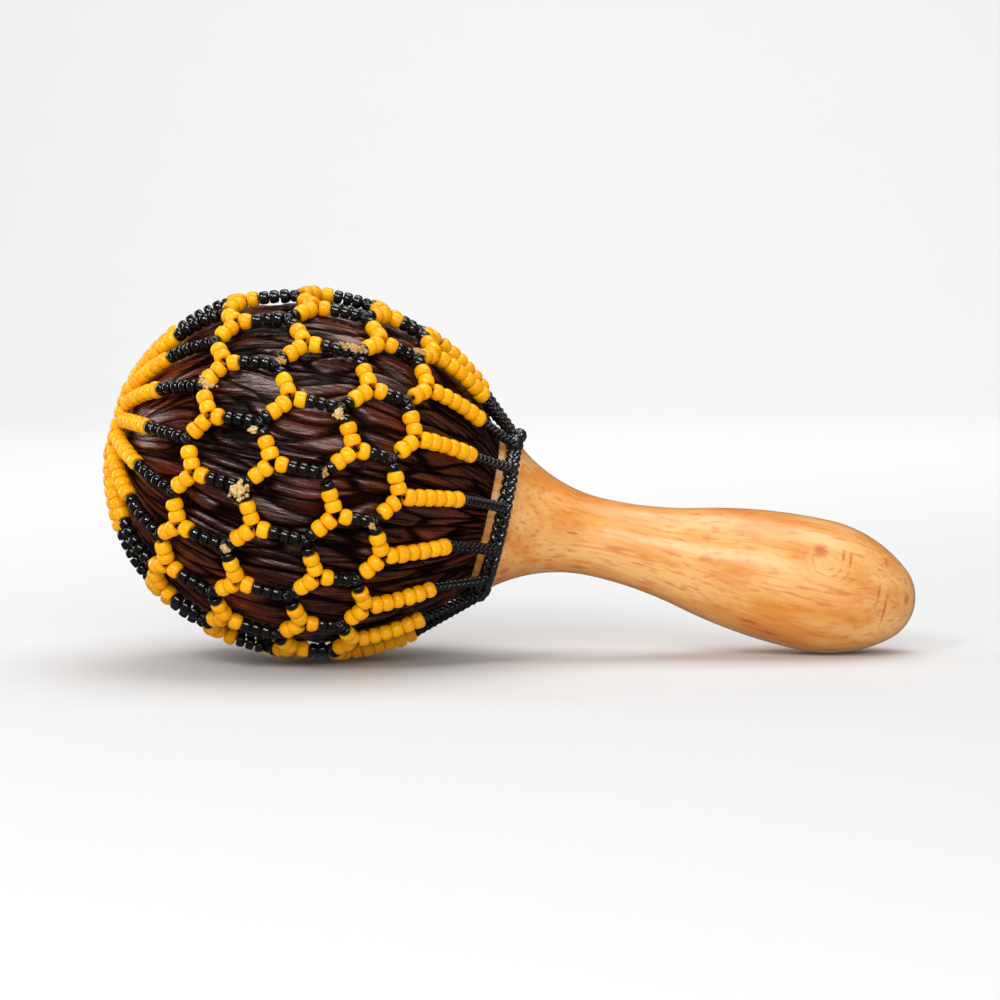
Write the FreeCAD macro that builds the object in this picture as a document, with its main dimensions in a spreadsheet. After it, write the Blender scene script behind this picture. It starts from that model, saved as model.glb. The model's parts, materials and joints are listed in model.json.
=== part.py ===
import FreeCAD, Part
import math
import os

import Sketcher

# A hand shaker: a hollow carved shell on a turned wooden handle, with a net of glass beads tied loosely
# round the shell. Everything is designed in the instrument's own frame, with +X along its axis from the
# shell's pole to the handle's tip and stations measured from the pole. The finished pieces are then laid
# down as the instrument rests on a table: on the widest beads and on the bulb of the handle.

SIZES = [
    ("pole_arc", 42.0, "shell: radius of the round pole end"),
    ("belly_radius", 43.0, "shell: widest radius"),
    ("belly_station", 47.3, "shell: where it is widest"),
    ("mouth_station", 92.7, "shell: where it is cut open"),
    ("shell_wall", 3.5, "shell: wall thickness"),
    ("mouth_bore", 16.0, "shell: radius of the hole that takes the handle"),
    ("spigot_play", 0.1, "handle: radial glue gap round the spigot"),
    ("spigot_length", 12.0, "handle: length of the spigot inside the shell"),
    ("rim_radius", 18.6, "handle: radius of the rim against the shell"),
    ("flare_arc", 39.0, "handle: radius of the hollow curve of the flare"),
    ("waist_station", 123.1, "handle: where it is thinnest"),
    ("waist_radius", 10.05, "handle: radius of the waist"),
    ("grip_arc", 100.0, "handle: radius of the hollow curve after the waist"),
    ("bulb_station", 180.7, "handle: where the bulb is widest"),
    ("bulb_radius", 17.15, "handle: radius of the bulb"),
    ("tip_arc", 12.0, "handle: radius of the round tip"),
    ("tip_station", 207.1, "handle: where it ends"),
    ("seed_radius", 2.3, "seeds: radius across"),
    ("seed_half_length", 3.0, "seeds: half of the length"),
    ("seed_columns", 6, "seeds: number side by side round the shell"),
    ("seed_rows", 7, "seeds: number along the shell"),
    ("seed_room", 1.1, "seeds: spacing, as a multiple of their size"),
    ("large_bead_radius", 2.0, "yellow bead: outer radius"),
    ("large_bead_half", 1.35, "yellow bead: half of the length"),
    ("large_bead_face", 1.0, "yellow bead: radius of the flat end"),
    ("large_bead_hole", 0.6, "yellow bead: radius of the hole"),
    ("small_bead_radius", 1.7, "black bead: outer radius"),
    ("small_bead_half", 1.0, "black bead: half of the length"),
    ("small_bead_face", 1.0, "black bead: radius of the flat end"),
    ("small_bead_hole", 0.5, "black bead: radius of the hole"),
    ("thin_bead_radius", 1.7, "thin black bead: outer radius"),
    ("thin_bead_half", 0.85, "thin black bead: half of the length"),
    ("thin_bead_face", 1.0, "thin black bead: radius of the flat end"),
    ("thin_bead_hole", 0.5, "thin black bead: radius of the hole"),
    ("bead_gap", 0.15, "net: space between neighbouring beads"),
    ("net_play", 0.3, "net: space between the yellow beads and the shell"),
    ("net_columns", 17, "net: number of strands round the shell"),
    ("net_phase", 6.3, "net: angle of the first knot, from the near side upwards"),
    ("arm_step", 9.55, "net: angle from a knot to the cluster above it"),
    ("net_skew", 2.7, "net: how far the rounds lean along the axis, above and below"),
    ("pole_ring_arc", 9.0, "net: surface distance from the pole to the ring of beads"),
    ("first_strand_arc", 12.5, "net: surface distance to the first bead of a pole strand"),
    ("pole_strand_beads", 6, "net: yellow beads in a pole strand"),
    ("neck_strand_beads", 6, "net: yellow beads in a neck strand"),
    ("neck_strand_lean", 4.5, "net: angle that a neck strand leans"),
    ("knot_arc_a", 41.8, "net: surface distance to the knots of round 1"),
    ("knot_arc_b", 59.4, "net: surface distance to the knots of round 2"),
    ("knot_arc_c", 77.6, "net: surface distance to the knots of round 3"),
    ("knot_arc_d", 92.6, "net: surface distance to the knots of round 4"),
    ("fork_arc_a", 46.6, "net: surface distance to the forks of round 1"),
    ("fork_arc_b", 65.2, "net: surface distance to the forks of round 2"),
    ("fork_arc_c", 83.3, "net: surface distance to the forks of round 3"),
    ("fork_arc_d", 97.7, "net: surface distance to the forks of round 4"),
    ("fork_reach", 2.25, "net: from a fork to the centre of its first beads"),
    ("fork_clear", 0.5, "net: from a fork to the ends of its threads"),
    ("knot_radius", 0.85, "net: radius of a plain knot"),
    ("glued_knot_radius", 1.0, "net: radius of a knot with glue on it"),
    ("arm_thread", 0.3, "net: radius of the thread in an arm"),
    ("strand_thread", 0.38, "net: radius of the doubled thread in a strand"),
    ("cord_radius", 1.3, "neck: radius of a knotted cord"),
    ("cord_clear", 0.8, "neck: from the last bead of a strand to its cord"),
    ("cord_end_station", 95.3, "neck: where the cords reach the collar"),
    ("cord_end_radius", 22.3, "neck: how far from the axis they reach it"),
    ("cord_bunch", 10.0, "neck: angle by which the cords gather above and below"),
    ("collar_play", 0.2, "collar: space between the braid and the rim"),
    ("collar_station", 96.4, "collar: middle of the braid"),
    ("collar_width", 3.2, "collar: width of the braid along the axis"),
    ("collar_height", 2.0, "collar: thickness of the braid"),
    ("collar_round", 0.7, "collar: rounding of its edges"),
    ("upper_knot_angle", 84.0, "collar: angle of the upper knot"),
    ("upper_knot_station", 98.6, "collar: station of the upper knot"),
    ("upper_knot_radius", 22.6, "collar: distance of the upper knot from the axis"),
    ("upper_knot_size", 5.0, "collar: width of the upper knot round the rim"),
    ("lower_knot_angle", -74.0, "collar: angle of the lower knot"),
    ("lower_knot_station", 97.4, "collar: station of the lower knot"),
    ("lower_knot_radius", 22.7, "collar: distance of the lower knot from the axis"),
    ("lower_knot_size", 4.2, "collar: width of the lower knot round the rim"),
]

# Knots whose glue shows as a dab, as (round, column). Round 0 is nearest the pole.
GLUED_KNOTS = {
    (0, 1), (1, 1), (1, 0), (1, -1), (1, -2), (2, 1), (2, 0), (2, -1), (3, 1), (3, -2),
    (0, 5), (0, -6), (1, 5), (1, 8), (2, 6), (2, -5), (3, 5), (3, -7),
}

document = FreeCAD.newDocument("shaker")
sheet = document.addObject("Spreadsheet::Sheet", "sizes")
for line, (alias, value, meaning) in enumerate(SIZES, start=1):
    sheet.set("A%d" % line, meaning)
    sheet.set("B%d" % line, str(value))
    sheet.setAlias("B%d" % line, alias)
document.recompute()


def size(alias):
    """A driving dimension, as a number."""
    return float(getattr(sheet, alias))


# ---------------------------------------------------------------- outlines and how the pieces lie


def oval_arc(length, radius, end_arc):
    """Radius of the side arc of an oval.

    The oval ends in an arc of radius end_arc centred on the axis, and is widest, with the given radius,
    at a distance length from that arc's centre.
    """
    return (length**2 + radius**2 - end_arc**2) / (2 * (radius - end_arc))


BELLY_ARC = oval_arc(size("belly_station") - size("pole_arc"), size("belly_radius"), size("pole_arc"))
BELLY_ARC_TEXT = (
    "((sizes.belly_station - sizes.pole_arc)^2 + sizes.belly_radius^2 - sizes.pole_arc^2)"
    " / (2 * (sizes.belly_radius - sizes.pole_arc))"
)
TIP_LENGTH = size("tip_station") - size("tip_arc") - size("bulb_station")
BULB_ARC = oval_arc(TIP_LENGTH, size("bulb_radius"), size("tip_arc"))
BULB_ARC_TEXT = (
    "((sizes.tip_station - sizes.tip_arc - sizes.bulb_station)^2 + sizes.bulb_radius^2"
    " - sizes.tip_arc^2) / (2 * (sizes.bulb_radius - sizes.tip_arc))"
)


def resting_tilt():
    """Angle between the axis and the table, in degrees: a line that touches both the net and the bulb."""
    net_arc = BELLY_ARC + size("net_play") + 2 * size("large_bead_radius")
    along = size("bulb_station") - size("belly_station")
    across = (size("belly_radius") - BELLY_ARC) - (size("bulb_radius") - BULB_ARC)
    reach = math.hypot(along, across)
    lean = math.atan2(across, along)
    return math.degrees(math.asin((net_arc - BULB_ARC) / reach) + lean)


TILT = resting_tilt()
LYING = FreeCAD.Placement(
    FreeCAD.Vector(0, 0, 0), FreeCAD.Rotation(FreeCAD.Vector(0, 1, 0), TILT)
)


def at(station, radius, angle):
    """A point given by its station, its distance from the axis and its angle.

    The angle is counted upwards from the near side, -Y.
    """
    turn = math.radians(angle)
    return FreeCAD.Vector(station, -radius * math.cos(turn), radius * math.sin(turn))


# ---------------------------------------------------------------- sketches


def origin_plane(body, role):
    """One of the body's own origin planes."""
    for feature in body.Origin.OriginFeatures:
        if feature.Role == role:
            return feature
    raise ValueError(role)


def new_sketch(body, name):
    sketch = body.newObject("Sketcher::SketchObject", name)
    sketch.AttachmentSupport = [(origin_plane(body, "XY_Plane"), "")]
    sketch.MapMode = "FlatFace"
    return sketch


def flat(x, y):
    return FreeCAD.Vector(x, y, 0)


def add_line(sketch, start, end):
    return sketch.addGeometry(Part.LineSegment(flat(*start), flat(*end)), False)


def add_arc(sketch, start, end, centre):
    """An arc between two points. Its ends are swapped where needed, because an arc runs anticlockwise.

    Returns the geometry's index and the position numbers of the start and the end.
    """
    radius = math.dist(start, centre)
    first = math.atan2(start[1] - centre[1], start[0] - centre[0])
    last = math.atan2(end[1] - centre[1], end[0] - centre[0])
    forward = (last - first) % (2 * math.pi) < math.pi
    if not forward:
        first, last = last, first
    circle = Part.Circle(flat(*centre), FreeCAD.Vector(0, 0, 1), radius)
    index = sketch.addGeometry(Part.ArcOfCircle(circle, first, last), False)
    return (index, 1, 2) if forward else (index, 2, 1)


def bind(sketch, constraint, text):
    """Adds a constraint and ties its value to the sheet."""
    index = sketch.addConstraint(constraint)
    sketch.setExpression("Constraints[%d]" % index, text)


def join(sketch, one, one_end, other, other_end, kind="Coincident"):
    sketch.addConstraint(Sketcher.Constraint(kind, one, one_end, other, other_end))


START, END, CENTRE, X_AXIS = 1, 2, 3, -1


def revolve(body, sketch, name, kind="PartDesign::Revolution"):
    """Turns a closed half outline round the instrument's axis, to add or to remove material."""
    feature = body.newObject(kind, name)
    feature.Profile = sketch
    feature.ReferenceAxis = (sketch, ["H_Axis"])
    feature.Angle = 360.0
    sketch.Visibility = False
    document.recompute()
    return feature


def egg_sketch(body, name, inset_text, inset):
    """Half outline of the egg, moved inwards by an inset: the pole arc, the belly arc and the cut."""
    pole, belly, mouth = size("pole_arc"), size("belly_station"), size("mouth_station")
    low = size("belly_radius") - BELLY_ARC
    side = math.dist((pole, 0), (belly, low))
    meet = (
        pole + (pole - inset) * (pole - belly) / side,
        (pole - inset) * (0 - low) / side,
    )
    edge = low + math.sqrt((BELLY_ARC - inset) ** 2 - (mouth - belly) ** 2)
    sketch = new_sketch(body, name)
    cap, cap_start, cap_end = add_arc(sketch, (inset, 0), meet, (pole, 0))
    flank, flank_start, flank_end = add_arc(sketch, meet, (mouth, edge), (belly, low))
    cut = add_line(sketch, (mouth, edge), (mouth, 0))
    axis = add_line(sketch, (mouth, 0), (inset, 0))
    join(sketch, cap, cap_end, flank, flank_start, "Tangent")
    join(sketch, flank, flank_end, cut, START)
    join(sketch, cut, END, axis, START)
    join(sketch, axis, END, cap, cap_start)
    sketch.addConstraint(Sketcher.Constraint("PointOnObject", cap, CENTRE, X_AXIS))
    sketch.addConstraint(Sketcher.Constraint("PointOnObject", axis, START, X_AXIS))
    sketch.addConstraint(Sketcher.Constraint("PointOnObject", axis, END, X_AXIS))
    sketch.addConstraint(Sketcher.Constraint("Vertical", cut))
    distance = Sketcher.Constraint
    bind(sketch, distance("DistanceX", cap, CENTRE, pole), "sizes.pole_arc")
    bind(sketch, distance("Radius", cap, pole - inset), "sizes.pole_arc - " + inset_text)
    bind(sketch, distance("DistanceX", flank, CENTRE, belly), "sizes.belly_station")
    bind(sketch, distance("Radius", flank, BELLY_ARC - inset), BELLY_ARC_TEXT + " - " + inset_text)
    bind(sketch, distance("DistanceX", cut, START, mouth), "sizes.mouth_station")
    document.recompute()
    return sketch


# ---------------------------------------------------------------- shell and handle


def make_shell():
    """The hollow shell: the egg, its cavity, and the hole in its cut end that takes the handle."""
    body = document.addObject("PartDesign::Body", "shell")
    revolve(body, egg_sketch(body, "outside", "0", 0.0), "egg")
    inside = egg_sketch(body, "inside", "sizes.shell_wall", size("shell_wall"))
    revolve(body, inside, "cavity", "PartDesign::Groove")

    mouth, bore, depth = size("mouth_station"), size("mouth_bore"), size("spigot_length")
    hole = new_sketch(body, "mouth")
    corners = [(mouth - depth, 0), (mouth - depth, bore), (mouth, bore), (mouth, 0)]
    sides = [add_line(hole, corners[i], corners[(i + 1) % 4]) for i in range(4)]
    for i in range(4):
        join(hole, sides[i], END, sides[(i + 1) % 4], START)
        direction = "Vertical" if i % 2 == 0 else "Horizontal"
        hole.addConstraint(Sketcher.Constraint(direction, sides[i]))
    hole.addConstraint(Sketcher.Constraint("PointOnObject", sides[0], START, X_AXIS))
    bind(hole, Sketcher.Constraint("DistanceX", sides[2], START, mouth), "sizes.mouth_station")
    bind(hole, Sketcher.Constraint("DistanceY", sides[2], START, bore), "sizes.mouth_bore")
    bind(hole, Sketcher.Constraint("DistanceX", sides[0], START, mouth - depth),
         "sizes.mouth_station - sizes.spigot_length")
    document.recompute()
    revolve(body, hole, "mouth_hole", "PartDesign::Groove")
    return body


def make_handle():
    """The turned handle: spigot, rim, hollow flare, waist, swelling grip, bulb and round tip."""
    body = document.addObject("PartDesign::Body", "handle")
    mouth, rim = size("mouth_station"), size("rim_radius")
    back = mouth - size("spigot_length")
    spigot = size("mouth_bore") - size("spigot_play")
    waist, waist_radius, flare = size("waist_station"), size("waist_radius"), size("flare_arc")
    bulb, bulb_radius, grip = size("bulb_station"), size("bulb_radius"), size("grip_arc")
    tip, tip_arc = size("tip_station"), size("tip_arc")

    flare_start = waist - math.sqrt(flare**2 - (flare - (rim - waist_radius)) ** 2)
    rise = bulb_radius - waist_radius
    both_arcs = ((bulb - waist) ** 2 + rise**2) / (2 * rise)
    swell = both_arcs - grip
    grip_centre = (waist, waist_radius + grip)
    swell_centre = (bulb, bulb_radius - swell)
    share = grip / both_arcs
    turn = (
        grip_centre[0] + share * (swell_centre[0] - grip_centre[0]),
        grip_centre[1] + share * (swell_centre[1] - grip_centre[1]),
    )
    side_centre = (bulb, bulb_radius - BULB_ARC)
    tip_centre = (tip - tip_arc, 0)
    span = math.dist(side_centre, tip_centre)
    shoulder = (
        tip_centre[0] + tip_arc * (tip_centre[0] - side_centre[0]) / span,
        tip_centre[1] + tip_arc * (tip_centre[1] - side_centre[1]) / span,
    )

    sketch = new_sketch(body, "profile")
    corners = [(tip, 0), (back, 0), (back, spigot), (mouth, spigot), (mouth, rim), (flare_start, rim)]
    lines = [add_line(sketch, corners[i], corners[i + 1]) for i in range(5)]
    axis, face, side, step, band = lines
    curves = [
        add_arc(sketch, (flare_start, rim), (waist, waist_radius), (waist, waist_radius + flare)),
        add_arc(sketch, (waist, waist_radius), turn, grip_centre),
        add_arc(sketch, turn, (bulb, bulb_radius), swell_centre),
        add_arc(sketch, (bulb, bulb_radius), shoulder, side_centre),
        add_arc(sketch, shoulder, (tip, 0), tip_centre),
    ]
    for i in range(4):
        join(sketch, lines[i], END, lines[i + 1], START)
        join(sketch, curves[i][0], curves[i][2], curves[i + 1][0], curves[i + 1][1], "Tangent")
    join(sketch, band, END, curves[0][0], curves[0][1])
    join(sketch, curves[4][0], curves[4][2], axis, START)
    for line in (axis, side, band):
        sketch.addConstraint(Sketcher.Constraint("Horizontal", line))
    for line in (face, step):
        sketch.addConstraint(Sketcher.Constraint("Vertical", line))
    sketch.addConstraint(Sketcher.Constraint("PointOnObject", axis, START, X_AXIS))
    sketch.addConstraint(Sketcher.Constraint("PointOnObject", curves[4][0], CENTRE, X_AXIS))

    value = Sketcher.Constraint
    bind(sketch, value("DistanceX", axis, START, tip), "sizes.tip_station")
    bind(sketch, value("DistanceX", face, START, back), "sizes.mouth_station - sizes.spigot_length")
    bind(sketch, value("DistanceY", face, END, spigot), "sizes.mouth_bore - sizes.spigot_play")
    bind(sketch, value("DistanceX", step, START, mouth), "sizes.mouth_station")
    bind(sketch, value("DistanceY", step, END, rim), "sizes.rim_radius")
    bind(sketch, value("Radius", curves[0][0], flare), "sizes.flare_arc")
    bind(sketch, value("DistanceX", curves[0][0], CENTRE, waist), "sizes.waist_station")
    bind(sketch, value("DistanceX", curves[1][0], curves[1][1], waist), "sizes.waist_station")
    bind(sketch, value("DistanceY", curves[1][0], curves[1][1], waist_radius), "sizes.waist_radius")
    bind(sketch, value("Radius", curves[1][0], grip), "sizes.grip_arc")
    bind(sketch, value("DistanceX", curves[3][0], curves[3][1], bulb), "sizes.bulb_station")
    bind(sketch, value("DistanceY", curves[3][0], curves[3][1], bulb_radius), "sizes.bulb_radius")
    bind(sketch, value("DistanceX", curves[2][0], CENTRE, bulb), "sizes.bulb_station")
    bind(sketch, value("Radius", curves[4][0], tip_arc), "sizes.tip_arc")
    document.recompute()
    revolve(body, sketch, "turned_handle")
    return body


# ---------------------------------------------------------------- one bead of each kind


def make_bead(name, kind):
    """One round glass bead with a hole along X: flat ends and one round side."""
    radius, half = size(kind + "_bead_radius"), size(kind + "_bead_half")
    face, hole = size(kind + "_bead_face"), size(kind + "_bead_hole")
    middle = (radius**2 - half**2 - face**2) / (2 * (radius - face))
    body = document.addObject("PartDesign::Body", name)
    sketch = new_sketch(body, name + "_profile")
    corners = [(-half, face), (-half, hole), (half, hole), (half, face)]
    lines = [add_line(sketch, corners[i], corners[i + 1]) for i in range(3)]
    dome, dome_start, dome_end = add_arc(sketch, (half, face), (-half, face), (0, middle))
    join(sketch, lines[0], END, lines[1], START)
    join(sketch, lines[1], END, lines[2], START)
    join(sketch, lines[2], END, dome, dome_start)
    join(sketch, dome, dome_end, lines[0], START)
    for line in (lines[0], lines[2]):
        sketch.addConstraint(Sketcher.Constraint("Vertical", line))
    sketch.addConstraint(Sketcher.Constraint("Horizontal", lines[1]))
    value = Sketcher.Constraint
    cell = "sizes." + kind + "_bead_"
    bind(sketch, value("DistanceX", lines[1], END, half), cell + "half")
    bind(sketch, value("DistanceX", lines[1], START, -half), "-" + cell + "half")
    bind(sketch, value("DistanceY", lines[1], END, hole), cell + "hole")
    bind(sketch, value("DistanceY", lines[2], END, face), cell + "face")
    bind(sketch, value("DistanceX", dome, CENTRE, 0.0), "0")
    bind(sketch, value("Radius", dome, radius - middle),
         "{0}radius - ({0}radius^2 - {0}half^2 - {0}face^2) / (2 * ({0}radius - {0}face))".format(cell))
    document.recompute()
    revolve(body, sketch, name + "_turned")
    return body


# ---------------------------------------------------------------- the surface that the net lies on

NET_LIFT = size("net_play") + size("large_bead_radius")
NET_CAP = size("pole_arc") + NET_LIFT
NET_FLANK = BELLY_ARC + NET_LIFT
FLANK_LOW = size("belly_radius") - BELLY_ARC
CAP_TURN = math.atan2(-FLANK_LOW, size("belly_station") - size("pole_arc"))
COLUMN_STEP = 360.0 / size("net_columns")
COLUMNS = int(size("net_columns"))
KNOT_ARCS = [size("knot_arc_" + letter) for letter in "abcd"]
FORK_ARCS = [size("fork_arc_" + letter) for letter in "abcd"]


def net_point(distance, angle):
    """A point of the net's middle surface.

    The distance runs along that surface from above the pole, first over the cap and then over the
    flank. Each round leans by the skew: its upper side lies nearer the neck. The strands spread from the
    middle of the leaning ring, and come back to their even spacing at the first knots.
    """
    turn = math.radians(angle)
    even = min(1.0, distance / KNOT_ARCS[0]) ** 2
    angle += math.degrees(size("net_skew") / distance * (1 - even) * math.cos(turn))
    distance += size("net_skew") * math.sin(turn)
    if distance < NET_CAP * CAP_TURN:
        turn = distance / NET_CAP
        return at(size("pole_arc") - NET_CAP * math.cos(turn), NET_CAP * math.sin(turn), angle)
    turn = CAP_TURN + (distance - NET_CAP * CAP_TURN) / NET_FLANK
    station = size("belly_station") - NET_FLANK * math.cos(turn)
    return at(station, FLANK_LOW + NET_FLANK * math.sin(turn), angle)


def knot_angle(row, column):
    return size("net_phase") + row * size("arm_step") + column * COLUMN_STEP


class Leg:
    """A stretch of the net: a circular arc through two ends and the point of the net between them."""

    def __init__(self, start, end):
        (start_distance, start_angle), (end_distance, end_angle) = start, end
        middle = net_point((start_distance + end_distance) / 2, (start_angle + end_angle) / 2)
        self.curve = Part.Arc(net_point(*start), middle, net_point(*end))
        self.circle = self.curve.toShape().Curve
        self.length = self.curve.length()

    def point(self, distance):
        return self.curve.value(self.curve.parameterAtDistance(distance, self.curve.FirstParameter))

    def direction(self, distance):
        parameter = self.curve.parameterAtDistance(distance, self.curve.FirstParameter)
        return self.curve.tangent(parameter)[0]

    def beads(self, master, distances):
        """Copies of a bead, threaded on the leg at the given distances from its start."""
        copies = []
        for distance in distances:
            turn = FreeCAD.Rotation(FreeCAD.Vector(1, 0, 0), self.direction(distance))
            copies.append(master.Shape.copy())
            copies[-1].Placement = FreeCAD.Placement(self.point(distance), turn)
        return copies

    def thread(self, radius, start, end):
        """The round thread between two distances from the leg's start."""
        circle = Part.Circle(self.point(start), self.direction(start), radius)
        disc = Part.Face(Part.Wire(circle.toShape()))
        sweep = math.degrees((end - start) / self.circle.Radius)
        return disc.revolve(self.circle.Center, self.circle.Axis, sweep)


def spread(start, end, half_length):
    """Distances of beads that fill a stretch evenly."""
    count = int((end - start) / (2 * half_length + size("bead_gap")))
    pitch = (end - start) / count
    return [start + (i + 0.5) * pitch for i in range(count)]


def yellow_places(first, count):
    pitch = 2 * size("large_bead_half") + size("bead_gap")
    return [first + i * pitch for i in range(count)]


# ---------------------------------------------------------------- the net


def make_pole_ring(yellow):
    """The closed ring of yellow beads round the pole, each between two strands, and its thread."""
    first = size("net_phase") + COLUMN_STEP / 2
    corners = [net_point(size("pole_ring_arc"), first + third) for third in (0, 120, 240)]
    ring = Part.Circle(*corners)
    beads = []
    for i in range(COLUMNS):
        around = FreeCAD.Rotation(ring.Axis, i * COLUMN_STEP)
        outwards = around.multVec(corners[0] - ring.Center)
        turn = FreeCAD.Rotation(FreeCAD.Vector(1, 0, 0), ring.Axis.cross(outwards))
        beads.append(yellow.Shape.copy())
        beads[-1].Placement = FreeCAD.Placement(ring.Center + outwards, turn)
    thread = Part.makeTorus(ring.Radius, size("arm_thread"), ring.Center, ring.Axis)
    return beads, [thread]


def make_net(yellow, black, thin):
    """All the beads, threads and knots between the ring and the neck cords, by node name."""
    half_yellow, half_black = size("large_bead_half"), size("small_bead_half")
    half_thin, fork_clear = size("thin_bead_half"), size("fork_clear")
    reach, gap, knot = size("fork_reach"), size("bead_gap"), size("glued_knot_radius")
    pieces = {}

    def add(node, solids):
        pieces.setdefault(node, []).extend(solids)

    for column in range(COLUMNS):
        angle = knot_angle(0, column)
        strand = Leg((size("pole_ring_arc"), angle), (KNOT_ARCS[0], angle))
        first = size("first_strand_arc") - size("pole_ring_arc")
        yellows = yellow_places(first, int(size("pole_strand_beads")))
        black_start = yellows[-1] + half_yellow + gap
        black_end = strand.length - knot - gap
        add("pole_strand_beads", strand.beads(yellow, yellows))
        add("black_band_1", strand.beads(black, spread(black_start, black_end, half_black)))
        thread = strand.thread(size("strand_thread"), size("large_bead_radius"), black_end)
        add("pole_strand_threads", [thread])

    for row in range(4):
        name = str(row + 1)
        for column in range(COLUMNS):
            fork_angle = knot_angle(row + 1, column)
            fork = (FORK_ARCS[row], fork_angle)
            lower = Leg(fork, (KNOT_ARCS[row], knot_angle(row, column)))
            upper = Leg(fork, (KNOT_ARCS[row], knot_angle(row, column + 1)))
            for arm in (lower, upper):
                places = yellow_places(reach, 2)
                end = arm.length - knot - gap
                free = places[-1] + half_yellow + gap
                add("yellow_row_" + name, arm.beads(yellow, places))
                add("row_threads_" + name, [arm.thread(size("arm_thread"), fork_clear, end)])
                if end - free > 2 * half_thin:
                    add("black_band_" + name, arm.beads(thin, [free + half_thin]))

            if row < 3:
                strand = Leg(fork, (KNOT_ARCS[row + 1], fork_angle))
                end = strand.length - knot - gap
                free = reach + half_yellow + gap
                add("yellow_row_" + name, strand.beads(yellow, [reach]))
                add("black_band_%d" % (row + 2), strand.beads(black, spread(free, end, half_black)))
            else:
                places = yellow_places(reach, int(size("neck_strand_beads")))
                end = places[-1] + half_yellow
                neck_angle = fork_angle + size("neck_strand_lean")
                strand = Leg(fork, (FORK_ARCS[row] + end, neck_angle))
                add("neck_strand_beads", strand.beads(yellow, places))
                add("neck_cords", [neck_cord(strand, end, neck_angle)])
            add("row_threads_" + name, [strand.thread(size("strand_thread"), fork_clear, end)])

            glued = (row, column) in GLUED_KNOTS or (row, column - COLUMNS) in GLUED_KNOTS
            radius = size("glued_knot_radius" if glued else "knot_radius")
            place = net_point(KNOT_ARCS[row], knot_angle(row, column))
            add("glued_knots" if glued else "junction_knots", [Part.makeSphere(radius, place)])
    return pieces


def neck_cord(strand, end, angle):
    """A straight round cord from the last bead of a neck strand to the collar."""
    start = strand.point(end + size("cord_clear"))
    gathered = angle + size("cord_bunch") * math.sin(math.radians(2 * angle))
    along = at(size("cord_end_station"), size("cord_end_radius"), gathered) - start
    return Part.makeCylinder(size("cord_radius"), along.Length, start, along)


# ---------------------------------------------------------------- collar and its knots


def make_collar():
    """The braid round the rim, as a plain ring with rounded edges."""
    upright = FreeCAD.Rotation(FreeCAD.Vector(0, 1, 0), 90)
    start = size("collar_station") - size("collar_width") / 2
    discs = []
    for name, radius in (
        ("collar_outside", "sizes.rim_radius + sizes.collar_play + sizes.collar_height"),
        ("collar_inside", "sizes.rim_radius + sizes.collar_play"),
    ):
        disc = document.addObject("Part::Cylinder", name)
        disc.Placement = FreeCAD.Placement(FreeCAD.Vector(start, 0, 0), upright)
        disc.setExpression("Radius", radius)
        disc.setExpression("Height", "sizes.collar_width")
        disc.setExpression("Placement.Base.x", "sizes.collar_station - sizes.collar_width / 2")
        discs.append(disc)
    ring = document.addObject("Part::Cut", "collar_ring")
    ring.Base, ring.Tool = discs
    document.recompute()
    collar = document.addObject("Part::Fillet", "collar_cord")
    collar.Base = ring
    rounding = size("collar_round")
    seams = [i for i, edge in enumerate(ring.Shape.Edges, start=1) if edge.Closed]
    collar.Edges = [(i, rounding, rounding) for i in seams]
    document.recompute()
    return collar


def make_collar_knot(which):
    """A knot of the collar as an ellipsoid: flattest away from the axis, widest round the rim."""
    knot = document.addObject("Part::Ellipsoid", "collar_knot_" + which)
    cell = "sizes.%s_knot_size" % which
    knot.setExpression("Radius1", cell + " / 3")
    knot.setExpression("Radius2", cell + " / 2.5")
    knot.setExpression("Radius3", cell + " / 2")
    angle = size(which + "_knot_angle")
    outwards, along = at(0, 1, angle), FreeCAD.Vector(1, 0, 0)
    turn = FreeCAD.Rotation(along, outwards.cross(along), outwards, "ZXY")
    place = at(size(which + "_knot_station"), size(which + "_knot_radius"), angle)
    knot.Placement = FreeCAD.Placement(place, turn)
    document.recompute()
    return knot


# ---------------------------------------------------------------- seeds


def make_seeds():
    """Loose seeds that lie along the bottom of the cavity, in one layer with a shorter one on it."""
    master = document.addObject("Part::Ellipsoid", "seed")
    master.setExpression("Radius1", "sizes.seed_radius")
    master.setExpression("Radius2", "sizes.seed_half_length")
    master.setExpression("Radius3", "sizes.seed_radius")
    document.recompute()
    radius = size("seed_radius") * size("seed_room")
    half_length = size("seed_half_length") * size("seed_room")
    seeds = []
    for layer in (0, 1):
        columns, rows = int(size("seed_columns")) - 3 * layer, int(size("seed_rows")) - 3 * layer
        arc = BELLY_ARC - size("shell_wall") - radius * (1 + 2 * layer)
        for row in range(rows):
            turn = math.radians(TILT) + (row - (rows - 1) / 2) * 2 * half_length / arc
            station = size("belly_station") + arc * math.sin(turn)
            out = FLANK_LOW + arc * math.cos(turn)
            step = math.degrees(2 * radius / out)
            for column in range(columns):
                angle = (column - (columns - 1) / 2 + (row % 2) / 4) * step - 90
                along = at(math.cos(turn), -math.sin(turn), angle)
                seeds.append(master.Shape.copy())
                seeds[-1].Placement = FreeCAD.Placement(
                    at(station, out, angle), FreeCAD.Rotation(FreeCAD.Vector(1, 0, 0), along)
                )
    return seeds


# ---------------------------------------------------------------- document


def add_group(name, solids):
    """Several separate solids of one kind as one node."""
    feature = document.addObject("Part::Feature", name)
    feature.Shape = Part.makeCompound(solids)
    return feature


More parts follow.
